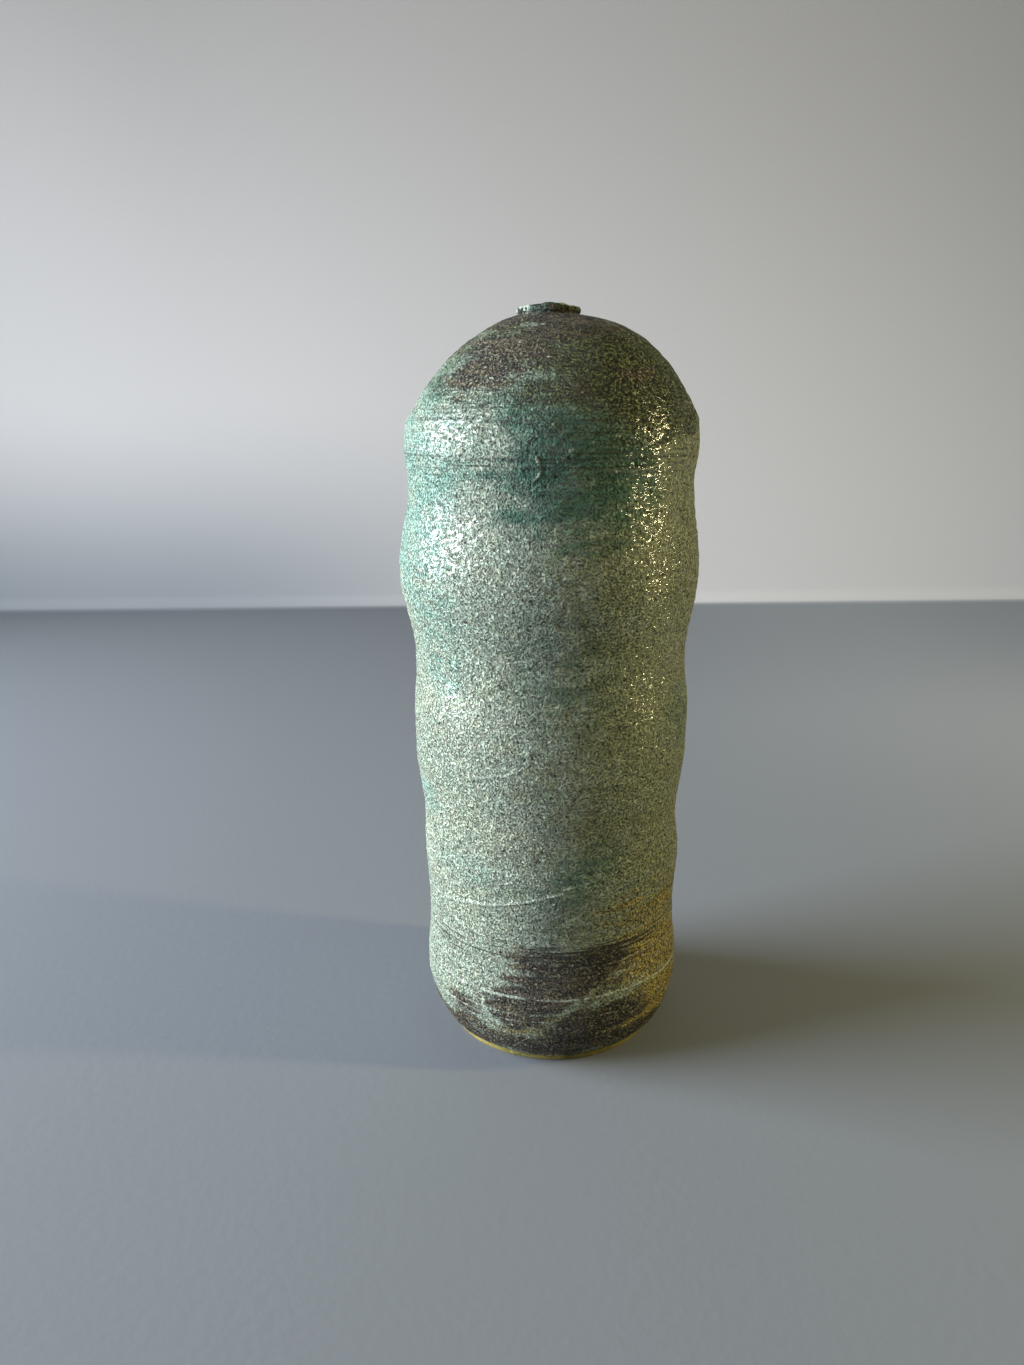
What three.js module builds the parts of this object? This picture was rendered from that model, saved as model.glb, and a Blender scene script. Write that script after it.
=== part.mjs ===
// Raku vase: a hand-thrown bottle in millimetres, +Z up, standing on z = 0.
// A turned foot ring, two thrown sections, a collared-in dome and a coil lip are stacked on flat luting
// faces. A glaze coat outside and a poured lining inside lie on their surfaces.
import * as THREE from 'three';

// Foot ring
const FOOT_RADIUS = 44.2;
const FOOT_HEIGHT = 2.4;
const FOOT_RING_WIDTH = 9.5;
const FOOT_EDGE_ROUND = 0.6;
const FOOT_SWAY = 1.2;

// Rounded heel, from the undercut over the foot ring out to the widest part of the base
const HEEL_UNDERCUT = 0.3;
const HEEL_FULLNESS = 1.5;

// Thrown wall, and its throwing rings from the heel up to the shoulder crease: how far each ring lies
// above the last, how far it swells beyond the body's radius, and how far its centre has wandered from
// that of the widest ring
const BODY_RADIUS = 56;
const HEEL = { rise: 22.6, swell: -1.9, sway: 1.0 };
const LOW_WAIST = { rise: 28, swell: -3.5, sway: 0.9 };
const LOW_BULGE = { rise: 27, swell: -2.2, sway: 1.1 };
const MIDDLE_WAIST = { rise: 14, swell: -3.0, sway: 0.4 };
const MIDDLE_BULGE = { rise: 30, swell: -0.1, sway: 0.6 };
const MIDDLE_CREST = { rise: 13, swell: 0.2, sway: 0.8 };
const LUTED_WAIST = { rise: 24.5, swell: -1.3, sway: 0.6 };
const HIGH_BULGE = { rise: 35, swell: 3.6, sway: 0.0 };
const HIGH_WAIST = { rise: 32.5, swell: -0.1, sway: 0.8 };
const SHOULDER = { rise: 15.5, swell: 1.1, sway: 1.0 };
const CREASE = { rise: 8, swell: 0.6, sway: 1.3 };
const LOWER_RINGS = [LOW_WAIST, LOW_BULGE, MIDDLE_WAIST, MIDDLE_BULGE, MIDDLE_CREST, LUTED_WAIST];
const UPPER_RINGS = [HIGH_BULGE, HIGH_WAIST, SHOULDER, CREASE];

// Dome, slumped to one side under a centred neck, on a curve with one pull point
const DOME_RISE = 38.5;
const DOME_PULL_RADIUS = 39.9;
const DOME_PULL_DROP = 4.4;
const DOME_SLUMP = 3.1;
const SLUMP_RADIUS = 27;

// Neck and coil lip
const NECK_RADIUS = 11.8;
const NECK_SWAY = 0.1;
const BORE_RADIUS = 7.6;
const LIP_HEIGHT = 3.2;
const LIP_OVERHANG = 0.6;
const LIP_ROUND = 1.3;
const LIP_WAVE = 0.35;
const LIP_WAVE_COUNT = 3;

// Clay wall and floor
const WALL = 5.2;
const FLOOR = 8;
const COVE = 11;

// Glaze outside, its uneven lower edge above the foot, and the lining inside
const GLAZE = 0.7;
const LINING = 0.5;
const GLAZE_EDGE_HEIGHT = 0.9;
const GLAZE_EDGE_WAVE = 0.45;
const GLAZE_EDGE_WAVE_COUNT = 5;

// Facets round the vase, and the longest steps along its outside and inside
const FACETS = 36;
const OUTSIDE = { wallStep: 9.5, heelSteps: 5, domeSteps: 7 };
const INSIDE = { wallStep: 22, coveSteps: 4, domeSteps: 5 };

// Finishes
const OCHRE_CLAY = { color: 0x8c8350, roughness: 0.95, metalness: 0 };
const SMOKED_CLAY = { color: 0x6e6a63, roughness: 0.95, metalness: 0 };
const COPPER_GLAZE = { color: 0x8fae9b, roughness: 0.5, metalness: 0 };
const LINING_GLAZE = { color: 0x7f9a8c, roughness: 0.45, metalness: 0 };

// Heights that follow from the sizes above
const heelTop = FOOT_HEIGHT + HEEL.rise;
const luteHeight = LOWER_RINGS.reduce((height, ring) => height + ring.rise, heelTop);
const creaseHeight = UPPER_RINGS.reduce((height, ring) => height + ring.rise, luteHeight);
const neckHeight = creaseHeight + DOME_RISE;
const floorTop = FOOT_HEIGHT + FLOOR;

function at(radius, height) {
  return new THREE.Vector2(radius, height);
}

function reversed(points) {
  return [...points].reverse();
}

// Profile of a ring, closed on itself
function closed(points) {
  return [...points, points[0].clone()];
}

function radiusOf(ring) {
  return BODY_RADIUS + ring.swell;
}

// Value eased from one to the next with a level start and end
function ease(from, to, share) {
  return THREE.MathUtils.lerp(from, to, (1 - Math.cos(Math.PI * share)) / 2);
}

// Quarter superellipse from the undercut out and up to the heel ring
function heelOutline(steps) {
  const start = FOOT_RADIUS + HEEL_UNDERCUT;
  const exponent = 2 / HEEL_FULLNESS;
  const points = [at(start, FOOT_HEIGHT)];
  for (let i = 1; i < steps; i += 1) {
    const angle = (Math.PI / 2) * (i / steps);
    const out = Math.sin(angle) ** exponent;
    const down = Math.cos(angle) ** exponent;
    points.push(at(THREE.MathUtils.lerp(start, radiusOf(HEEL), out), heelTop - HEEL.rise * down));
  }
  return [...points, at(radiusOf(HEEL), heelTop)];
}

// Rippled wall from one throwing ring through each of the next in turn
function rippledOutline(firstRing, firstHeight, rings, longestStep) {
  const points = [at(radiusOf(firstRing), firstHeight)];
  let below = firstRing;
  let height = firstHeight;
  for (const ring of rings) {
    const steps = Math.max(1, Math.round(ring.rise / longestStep));
    for (let i = 1; i <= steps; i += 1) {
      const share = i / steps;
      points.push(at(ease(radiusOf(below), radiusOf(ring), share), height + ring.rise * share));
    }
    height += ring.rise;
    below = ring;
  }
  return points;
}

// Dome from the shoulder crease in to the neck
function domeOutline(steps) {
  const crease = at(radiusOf(CREASE), creaseHeight);
  const pull = at(DOME_PULL_RADIUS, neckHeight - DOME_PULL_DROP);
  const neck = at(NECK_RADIUS, neckHeight);
  return new THREE.QuadraticBezierCurve(crease, pull, neck).getPoints(steps);
}

// Outline moved inward along its normals, with its two ends kept at their own heights so that the
// luting faces stay flat
function inward(points, depth) {
  return points.map((point, i) => {
    const isEnd = i === 0 || i === points.length - 1;
    if (isEnd) {
      return at(point.x - depth, point.y);
    }
    const along = points[i + 1].clone().sub(points[i - 1]).normalize();
    return at(point.x - depth * along.y, point.y + depth * along.x);
  });
}

// Underside of the dome, from the crease in to the throat and straight up it to the neck
function throatOutline(depth, throatRadius) {
  const under = inward(domeOutline(INSIDE.domeSteps), depth).slice(0, -1);
  const wider = under.filter((point) => point.x > throatRadius);
  const last = wider[wider.length - 1];
  const slopeAtNeck = DOME_PULL_DROP / (DOME_PULL_RADIUS - NECK_RADIUS);
  const throatFoot = last.y + (last.x - throatRadius) * slopeAtNeck;
  return [...wider, at(throatRadius, throatFoot), at(throatRadius, neckHeight)];
}

// Floor from the axis out, and the rounded corner up to the foot of the wall
function coveOutline(wallFoot, floorHeight) {
  const points = [at(0, floorHeight)];
  for (let i = 0; i < INSIDE.coveSteps; i += 1) {
    const angle = (Math.PI / 2) * (i / INSIDE.coveSteps);
    const radius = wallFoot.x - COVE * (1 - Math.sin(angle));
    points.push(at(radius, THREE.MathUtils.lerp(floorHeight, wallFoot.y, 1 - Math.cos(angle))));
  }
  return points;
}

// Lip from its bulge over the neck, over the top and down into the bore
function lipOutline(depth) {
  const bulge = NECK_RADIUS + LIP_OVERHANG - depth;
  const inner = BORE_RADIUS - GLAZE + depth;
  const top = neckHeight + LIP_HEIGHT - depth;
  const middle = (neckHeight + top) / 2;
  return [
    at(bulge, middle),
    at(bulge - LIP_ROUND / 3, top - LIP_ROUND / 2),
    at(bulge - LIP_ROUND, top),
    at(inner + LIP_ROUND, top),
    at(inner, top - LIP_ROUND),
  ];
}

// Outside at the face of the glaze, and the face of the clay under it
const heel = heelOutline(OUTSIDE.heelSteps);
const lowerWall = rippledOutline(HEEL, heelTop, LOWER_RINGS, OUTSIDE.wallStep);
const upperWall = rippledOutline(LUTED_WAIST, luteHeight, UPPER_RINGS, OUTSIDE.wallStep);
const dome = domeOutline(OUTSIDE.domeSteps);
const clayHeel = inward(heel, GLAZE);
const clayLower = inward(lowerWall, GLAZE);
const clayUpper = inward(upperWall, GLAZE);
const clayDome = inward(dome, GLAZE);

// Inside of the clay, and the face of the lining on it
const plainLower = rippledOutline(HEEL, heelTop, LOWER_RINGS, INSIDE.wallStep);
const plainUpper = rippledOutline(LUTED_WAIST, luteHeight, UPPER_RINGS, INSIDE.wallStep);
const insideLower = inward(plainLower, GLAZE + WALL);
const insideUpper = inward(plainUpper, GLAZE + WALL);
const insideDome = throatOutline(GLAZE + WALL, BORE_RADIUS);
const insideCove = coveOutline(insideLower[0], floorTop);
const liningLower = inward(plainLower, GLAZE + WALL + LINING);
const liningUpper = inward(plainUpper, GLAZE + WALL + LINING);
const liningDome = throatOutline(GLAZE + WALL + LINING, BORE_RADIUS - LINING);
const liningCove = coveOutline(liningLower[0], floorTop + LINING);

function footRing() {
  const inner = FOOT_RADIUS - FOOT_RING_WIDTH;
  return closed([
    at(inner + FOOT_EDGE_ROUND, 0),
    at(FOOT_RADIUS - FOOT_EDGE_ROUND, 0),
    at(FOOT_RADIUS, FOOT_EDGE_ROUND),
    at(FOOT_RADIUS, FOOT_HEIGHT),
    at(inner, FOOT_HEIGHT),
    at(inner, FOOT_EDGE_ROUND),
  ]);
}

function lowerSection() {
  return [
    at(0, FOOT_HEIGHT),
    ...clayHeel,
    ...clayLower.slice(1),
    ...reversed(insideLower),
    ...reversed(insideCove),
  ];
}

function upperSection() {
  return closed([...clayUpper, ...reversed(insideUpper)]);
}

function shoulderDome() {
  return closed([...clayDome, ...reversed(insideDome)]);
}

function mouthRing() {
  return closed([
    at(NECK_RADIUS - GLAZE, neckHeight),
    ...lipOutline(GLAZE),
    at(BORE_RADIUS, neckHeight),
  ]);
}

// Coat from its edge above the foot up the wall, over the dome and lip and down to the neck in the bore
function glazeCoat() {
  return closed([
    ...heel.slice(1),
    ...lowerWall.slice(1),
    ...upperWall.slice(1),
    ...dome.slice(1),
    ...lipOutline(0),
    at(BORE_RADIUS - LINING, neckHeight),
    at(BORE_RADIUS, neckHeight),
    ...reversed(lipOutline(GLAZE)),
    ...reversed(clayDome),
    ...reversed(clayUpper).slice(1),
    ...reversed(clayLower).slice(1),
    ...reversed(clayHeel.slice(1)).slice(1),
  ]);
}

// Lining over the floor, up the wall, under the dome and up the throat to the neck
function glazeLining() {
  return [
    ...insideCove,
    ...insideLower,
    ...insideUpper.slice(1),
    ...insideDome.slice(1),
    ...reversed(liningDome),
    ...reversed(liningUpper).slice(1),
    ...reversed(liningLower).slice(1),
    ...reversed(liningCove),
  ];
}

// Heights up the wall at which the centre of the vase is known
function wallStations() {
  const stations = [{ height: FOOT_HEIGHT, sway: FOOT_SWAY }];
  for (const ring of [HEEL, ...LOWER_RINGS, ...UPPER_RINGS]) {
    stations.push({ height: stations[stations.length - 1].height + ring.rise, sway: ring.sway });
  }
  return stations;
}

// How far the wall's centre has wandered towards +X at a height
function wallSway(stations, height) {
  const next = stations.findIndex((station) => station.height > height);
  if (next === 0) {
    return FOOT_SWAY;
  }
  if (next < 0) {
    return CREASE.sway;
  }
  const low = stations[next - 1];
  const high = stations[next];
  return ease(low.sway, high.sway, (height - low.height) / (high.height - low.height));
}

// How far the dome has slumped towards +X at a radius: most at the slump ring, and none at the neck
function domeSway(radius) {
  if (radius < SLUMP_RADIUS) {
    const outFromNeck = Math.max(0, (radius - NECK_RADIUS) / (SLUMP_RADIUS - NECK_RADIUS));
    return ease(NECK_SWAY, DOME_SLUMP, outFromNeck);
  }
  const inFromCrease = (radiusOf(CREASE) - radius) / (radiusOf(CREASE) - SLUMP_RADIUS);
  return THREE.MathUtils.lerp(CREASE.sway, DOME_SLUMP, Math.sin((Math.PI / 2) * inFromCrease));
}

// Lift that makes the glaze's lower edge and the top of the lip uneven
function liftAt(angle, height) {
  const fromEdge = (height - FOOT_HEIGHT - GLAZE_EDGE_HEIGHT) / GLAZE_EDGE_HEIGHT;
  const edgeShare = Math.max(0, 1 - Math.abs(fromEdge));
  const lipShare = Math.max(0, (height - neckHeight) / LIP_HEIGHT);
  const edgeLift = GLAZE_EDGE_WAVE * Math.sin(GLAZE_EDGE_WAVE_COUNT * angle) * edgeShare;
  return edgeLift + LIP_WAVE * Math.sin(LIP_WAVE_COUNT * angle) * lipShare;
}

// Splits each facet of a turned body along the same diagonal whichever way its profile runs, so that
// two bodies that share a surface share its triangles
function shareDiagonals(geometry, profile) {
  const index = geometry.getIndex();
  const rows = profile.length;
  const indicesPerFacet = 6;
  for (let i = 0; i < index.count; i += indicesPerFacet) {
    const corner = index.getX(i);
    const from = profile[corner % rows];
    const to = profile[(corner % rows) + 1];
    const runsBack = to.y < from.y || (to.y === from.y && to.x < from.x);
    if (runsBack) {
      const across = corner + rows;
      const split = [corner, across, across + 1, corner, across + 1, corner + 1];
      split.forEach((vertex, k) => index.setX(i + k, vertex));
    }
  }
}

// Closed body turned from a profile, with the hand-thrown sway and unevenness added
function thrownBody(profile) {
  const geometry = new THREE.LatheGeometry(profile, FACETS);
  shareDiagonals(geometry, profile);
  geometry.rotateX(Math.PI / 2);
  const position = geometry.getAttribute('position');
  const stations = wallStations();
  for (let i = 0; i < position.count; i += 1) {
    const x = position.getX(i);
    const y = position.getY(i);
    const height = position.getZ(i);
    const sway = height > creaseHeight ? domeSway(Math.hypot(x, y)) : wallSway(stations, height);
    position.setX(i, x + sway);
    position.setZ(i, height + liftAt(Math.atan2(y, x), height));
  }
  geometry.computeVertexNormals();
  return geometry;
}

// One named sub-part with its own finish
function piece(name, profile, finish) {
  const mesh = new THREE.Mesh(thrownBody(profile), new THREE.MeshStandardMaterial(finish));
  mesh.name = name;
  return mesh;
}

const vase = new THREE.Group();
vase.add(piece('foot_ring', footRing(), OCHRE_CLAY));
vase.add(piece('lower_section', lowerSection(), SMOKED_CLAY));
vase.add(piece('upper_section', upperSection(), SMOKED_CLAY));
vase.add(piece('shoulder_dome', shoulderDome(), SMOKED_CLAY));
vase.add(piece('mouth_ring', mouthRing(), SMOKED_CLAY));
vase.add(piece('glaze_coat', glazeCoat(), COPPER_GLAZE));
vase.add(piece('glaze_lining', glazeLining(), LINING_GLAZE));

export default vase;
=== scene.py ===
"""Looks of a hand-thrown raku bottle vase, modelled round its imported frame.

The frame gives every piece its place. The crusted copper glaze and the bare foot ring are rebuilt
here as fine closed meshes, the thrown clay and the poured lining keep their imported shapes, and all
of them get procedural finishes.
"""
import logging
import math
from dataclasses import dataclass, field
from enum import Enum
from functools import reduce
from itertools import product

import bpy
import numpy as np
from mathutils import Matrix, Vector


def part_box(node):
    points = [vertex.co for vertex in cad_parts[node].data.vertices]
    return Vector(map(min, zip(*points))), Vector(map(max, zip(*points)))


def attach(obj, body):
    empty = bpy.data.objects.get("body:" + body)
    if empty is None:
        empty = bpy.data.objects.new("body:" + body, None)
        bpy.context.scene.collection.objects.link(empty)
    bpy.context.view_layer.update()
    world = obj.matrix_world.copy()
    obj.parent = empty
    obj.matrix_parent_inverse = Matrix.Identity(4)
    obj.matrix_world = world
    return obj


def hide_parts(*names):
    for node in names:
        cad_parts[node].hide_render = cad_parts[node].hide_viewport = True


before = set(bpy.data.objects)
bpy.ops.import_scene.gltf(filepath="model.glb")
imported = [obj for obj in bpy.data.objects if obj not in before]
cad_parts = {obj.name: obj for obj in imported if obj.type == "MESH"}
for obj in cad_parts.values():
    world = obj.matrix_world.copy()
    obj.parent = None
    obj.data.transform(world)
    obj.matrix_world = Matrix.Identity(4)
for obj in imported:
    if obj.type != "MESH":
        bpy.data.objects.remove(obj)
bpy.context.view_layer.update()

log = logging.getLogger("raku_vase")

MM = 0.001
ROOT = "root"
FRONT = -90.0  # degrees from +X round to the side that faces the camera


class Mark(Enum):
    """What the glaze's mesh carries for its finish to read: blooms of colour, traces of the making, and
    painted shade and highlights.
    """

    CREAM = "glaze_cream"
    TURQUOISE = "glaze_turquoise"
    TEAL = "glaze_teal"
    AQUA = "glaze_aqua"
    KHAKI = "glaze_khaki"
    GOLD = "glaze_gold"
    MOSS = "glaze_moss"
    SMOKE = "glaze_smoke"
    STRAND = "glaze_strand"
    LINES = "glaze_lines"
    GLOSS = "glaze_gloss"
    PIT = "glaze_pit"


def smooth_step(low: float, high: float, value: np.ndarray) -> np.ndarray:
    """Rise from 0 at low to 1 at high with level ends.

    Args:
        low: Value at which the rise starts.
        high: Value at which it ends.
        value: Values to map.

    Returns:
        The mapped values.
    """
    share = np.clip((value - low) / (high - low), 0.0, 1.0)
    return share * share * (3.0 - 2.0 * share)


def ease(start: np.ndarray, end: np.ndarray, share: np.ndarray) -> np.ndarray:
    """Blend from start to end with a level start and finish.

    Args:
        start: Value where share is 0.
        end: Value where share is 1.
        share: How far along, from 0 to 1.

    Returns:
        The blended value.
    """
    return start + (end - start) * (1.0 - np.cos(np.pi * share)) / 2.0


def resampled(points: np.ndarray, step: float) -> np.ndarray:
    """Spread points evenly along a line.

    Args:
        points: The line's points, one a row.
        step: Longest distance between the new points.

    Returns:
        New points on the same line, its two ends included.
    """
    lengths = np.hypot(*np.diff(points, axis=0).T)
    along = np.concatenate([[0.0], np.cumsum(lengths)])
    count = max(2, int(math.ceil(along[-1] / step)) + 1)
    places = np.linspace(0.0, along[-1], count)
    return np.stack([np.interp(places, along, points[:, k]) for k in range(2)], axis=1)


@dataclass(frozen=True)
class Lattice:
    """Smooth random field in space, the same on every run.

    seed picks the field, strength is its largest value either way, spacing the size of one cell in
    millimetres, or one size for each axis, and cells how many there are before the field repeats.
    """

    seed: int
    strength: float
    spacing: float | tuple[float, float, float]
    cells: int = 64

    def at(self, points: np.ndarray) -> np.ndarray:
        """Read the field.

        Args:
            points: Places in millimetres, in the last axis.

        Returns:
            Values from minus to plus the strength, one a place.
        """
        values = np.random.default_rng(self.seed).random((self.cells,) * 3).astype(np.float32)
        scaled = points / np.asarray(self.spacing, float)
        cell = np.floor(scaled).astype(int)
        part = (scaled - cell).astype(np.float32)
        part = part * part * (3.0 - 2.0 * part)
        total = np.zeros(points.shape[:-1], np.float32)
        for corner in product((0, 1), repeat=3):
            weight = np.prod([part[..., k] if corner[k] else 1.0 - part[..., k] for k in range(3)], axis=0)
            x, y, z = ((cell[..., k] + corner[k]) % self.cells for k in range(3))
            total += weight * values[x, y, z]
        return self.strength * (2.0 * total - 1.0)


@dataclass(frozen=True)
class ThrowingRing:
    """A ring that the fingers left in the wall, in millimetres.

    rise is its height above the ring below, swell its radius beyond the body's, and sway how far
    its centre has wandered from the axis.
    """

    rise: float
    swell: float
    sway: float


@dataclass(frozen=True)
class VaseForm:
    """The thrown form that all the pieces share, in millimetres."""

    foot_radius: float = 44.2
    foot_height: float = 2.4
    foot_ring_width: float = 9.5
    foot_sway: float = 1.2
    heel_undercut: float = 0.3
    heel_fullness: float = 1.5
    body_radius: float = 56.0
    rings: tuple[ThrowingRing, ...] = (
        ThrowingRing(22.6, -1.9, 1.0),
        ThrowingRing(28.0, -3.5, 0.9),
        ThrowingRing(27.0, -2.2, 1.1),
        ThrowingRing(14.0, -3.0, 0.4),
        ThrowingRing(30.0, -0.1, 0.6),
        ThrowingRing(13.0, 0.2, 0.8),
        ThrowingRing(24.5, -1.3, 0.6),
        ThrowingRing(35.0, 3.6, 0.0),
        ThrowingRing(32.5, -0.1, 0.8),
        ThrowingRing(15.5, 1.1, 1.0),
        ThrowingRing(8.0, 0.6, 1.3),
    )
    dome_rise: float = 38.5
    dome_pull_radius: float = 39.9
    dome_pull_drop: float = 4.4
    dome_slump: float = 3.1
    slump_radius: float = 27.0
    neck_radius: float = 11.8
    neck_sway: float = 0.1
    bore_radius: float = 7.6
    lip_height: float = 3.2
    lip_overhang: float = 0.6
    lip_round: float = 1.3
    lip_wave: float = 0.35
    lip_waves: int = 3
    glaze: float = 0.7
    lining: float = 0.5
    edge_height: float = 0.9
    edge_wave: float = 0.45
    edge_waves: int = 5

    @property
    def heights(self) -> np.ndarray:
        """Height of each throwing ring."""
        return self.foot_height + np.cumsum([ring.rise for ring in self.rings])

    @property
    def radii(self) -> np.ndarray:
        """Outside radius at each throwing ring."""
        return self.body_radius + np.array([ring.swell for ring in self.rings])

    @property
    def crease_height(self) -> float:
        """Height of the crease between wall and dome."""
        return float(self.heights[-1])

    @property
    def neck_height(self) -> float:
        """Height of the neck, where the lip starts."""
        return self.crease_height + self.dome_rise

    @property
    def glaze_start(self) -> float:
        """Middle height of the glaze's uneven lower edge."""
        return self.foot_height + self.edge_height

    def heel(self, count: int = 60) -> np.ndarray:
        """Rounded heel from the foot out to the first ring.

        Args:
            count: Number of points.

        Returns:
            Radius and height of each point.
        """
        angle = np.linspace(0.0, np.pi / 2, count)
        exponent = 2.0 / self.heel_fullness
        start = self.foot_radius + self.heel_undercut
        radius = start + (self.radii[0] - start) * np.sin(angle) ** exponent
        height = self.heights[0] - self.rings[0].rise * np.clip(np.cos(angle), 0, 1) ** exponent
        return np.stack([radius, height], axis=1)

    def wall_outline(self, count: int = 24) -> np.ndarray:
        """Rippled wall from the lowest throwing ring to the highest.

        Args:
            count: Points from one ring to the next.

        Returns:
            Radius and height of each point.
        """
        parts = []
        share = np.linspace(0.0, 1.0, count)
        for k, ring in enumerate(self.rings[1:]):
            radius = ease(self.radii[k], self.radii[k + 1], share)
            height = self.heights[k] + ring.rise * share
            parts.append(np.stack([radius, height], axis=1)[min(k, 1) :])
        return np.concatenate(parts)

    def dome(self, count: int = 90) -> np.ndarray:
        """Dome from the crease in to the neck.

        Args:
            count: Number of points.

        Returns:
            Radius and height of each point.
        """
        crease = np.array([self.radii[-1], self.crease_height])
        pull = np.array([self.dome_pull_radius, self.neck_height - self.dome_pull_drop])
        neck = np.array([self.neck_radius, self.neck_height])
        t = np.linspace(0.0, 1.0, count)[:, None]
        return (1 - t) ** 2 * crease + 2 * t * (1 - t) * pull + t**2 * neck

    def lip(self, count: int = 16) -> np.ndarray:
        """Coil lip from its undercut over the neck, over the top and down to the neck in the bore.

        Args:
            count: Points along each rounded side.

        Returns:
            Radius and height of each point.
        """
        bulge = self.neck_radius + self.lip_overhang
        inner = self.bore_radius - self.glaze
        top = self.neck_height + self.lip_height
        half = self.lip_height / 2
        corner = self.lip_round
        start = -math.acos(1.0 - self.lip_overhang / corner)
        outer = np.linspace(start, np.pi / 2, count)
        inward = np.linspace(np.pi / 2, np.pi, count)
        outside = [bulge - corner + corner * np.cos(outer), top - half + half * np.sin(outer)]
        inside = [inner + corner + corner * np.cos(inward), top - corner + corner * np.sin(inward)]
        foot = np.array([[self.bore_radius - self.lining, self.neck_height]])
        return np.concatenate([np.stack(outside, axis=1), np.stack(inside, axis=1), foot])

    def sway(self, radius: np.ndarray, height: np.ndarray) -> np.ndarray:
        """How far the vase's centre has wandered towards +X.

        Args:
            radius: Radii of the points.
            height: Heights of the points.

        Returns:
            The shift of each point.
        """
        stations = np.concatenate([[self.foot_height], self.heights])
        sways = np.array([self.foot_sway] + [ring.sway for ring in self.rings])
        index = np.clip(np.searchsorted(stations, height, side="right") - 1, 0, len(stations) - 2)
        share = np.clip((height - stations[index]) / np.diff(stations)[index], 0.0, 1.0)
        wall = ease(sways[index], sways[index + 1], share)
        near = np.clip((radius - self.neck_radius) / (self.slump_radius - self.neck_radius), 0.0, 1.0)
        crease_radius = self.radii[-1]
        out = np.clip((crease_radius - radius) / (crease_radius - self.slump_radius), 0.0, 1.0)
        slumped = sways[-1] + (self.dome_slump - sways[-1]) * np.sin(np.pi / 2 * out)
        dome = np.where(radius < self.slump_radius, ease(self.neck_sway, self.dome_slump, near), slumped)
        return np.where(height > self.crease_height, dome, wall)

    def lift(self, azimuth: np.ndarray, height: np.ndarray) -> np.ndarray:
        """Rise that makes the glaze's lower edge and the lip's top uneven.

        Args:
            azimuth: Angles from the front, in radians.
            height: Heights of the points.

        Returns:
            The rise of each point.
        """
        angle = azimuth + math.radians(FRONT)
        from_edge = (height - self.foot_height - self.edge_height) / self.edge_height
        edge = self.edge_wave * np.sin(self.edge_waves * angle) * np.clip(1 - np.abs(from_edge), 0, 1)
        share = np.clip((height - self.neck_height) / self.lip_height, 0.0, None)
        return edge + self.lip_wave * np.sin(self.lip_waves * angle) * share


@dataclass
class TurnedGrid:
    """Points of a turned surface, rows up the outline and columns round it, in millimetres."""

    form: VaseForm
    outline: np.ndarray
    columns: int
    azimuth: np.ndarray = field(init=False)
    along: np.ndarray = field(init=False)
    normal: np.ndarray = field(init=False)

    def __post_init__(self) -> None:
        """Work out the columns' angles, and each row's place along the outline and its normal."""
        self.azimuth = np.arange(self.columns) * 2 * np.pi / self.columns - np.pi
        steps = np.diff(self.outline, axis=0)
        self.along = np.concatenate([[0.0], np.cumsum(np.hypot(steps[:, 0], steps[:, 1]))])
        tangent = np.gradient(self.outline, axis=0)
        tangent /= np.maximum(np.linalg.norm(tangent, axis=1, keepdims=True), 1e-9)
        self.normal = np.stack([tangent[:, 1], -tangent[:, 0]], axis=1)

    @property
    def shape(self) -> tuple[int, int]:
        """Rows and columns."""
        return len(self.outline), self.columns

    def points(self, outward: np.ndarray | float = 0.0) -> np.ndarray:
        """Place every point, moved out along the surface's normal.

        Args:
            outward: How far each point is moved out, or one value for all.

        Returns:
            Positions as rows by columns by three.
        """
        out = np.broadcast_to(outward, self.shape)
        radius = self.outline[:, :1] + out * self.normal[:, :1]
        height = self.outline[:, 1:] + out * self.normal[:, 1:]
        shift = self.form.sway(self.outline[:, 0], self.outline[:, 1])[:, None]
        lift = self.form.lift(self.azimuth[None, :], self.outline[:, 1:])
        x = shift + radius * np.sin(self.azimuth)
        y = -radius * np.cos(self.azimuth)
        return np.stack([x, y, height + lift], axis=-1)

    def along_at(self, height: float) -> float:
        """Distance along the outline at a height on the wall or the dome."""
        rows = self.outline[:, 1].argmax() + 1
        return float(np.interp(height, self.outline[:rows, 1], self.along[:rows]))

    def near(self, degrees: float, height: float, reach: float) -> tuple[np.ndarray, np.ndarray]:
        """Rows and columns around a place.

        Args:
            degrees: Azimuth of the place from the front.
            height: Its height.
            reach: How far the rows and columns reach from it, in millimetres.

        Returns:
            Index arrays of the rows, as a column, and of the columns.
        """
        place = self.along_at(height)
        low, high = np.searchsorted(self.along, [place - reach, place + reach])
        rows = np.arange(low, high)
        radius = float(np.interp(place, self.along, self.outline[:, 0]))
        spread = min(np.pi, reach / max(radius, 1.0))
        centre = math.radians(degrees)
        first = int(math.floor((centre - spread + np.pi) / (2 * np.pi) * self.columns))
        count = int(math.ceil(2 * spread / (2 * np.pi) * self.columns)) + 1
        return rows[:, None], (first + np.arange(min(count, self.columns))) % self.columns

    def offsets(self, rows: np.ndarray, columns: np.ndarray, degrees: float, height: float) -> np.ndarray:
        """Place of points as seen from a feature's centre.

        Args:
            rows: Row indices, as a column.
            columns: Column indices.
            degrees: Azimuth of the centre.
            height: Height of the centre.

        Returns:
            Millimetres to the right and up along the surface, in the last axis.
        """
        turn = self.azimuth[columns] - math.radians(degrees)
        turn = (turn + np.pi) % (2 * np.pi) - np.pi
        across = turn[None, :] * self.outline[rows[:, 0], 0][:, None]
        up = self.along[rows] - self.along_at(height) + 0.0 * across
        return np.stack([across, up], axis=-1)


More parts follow.
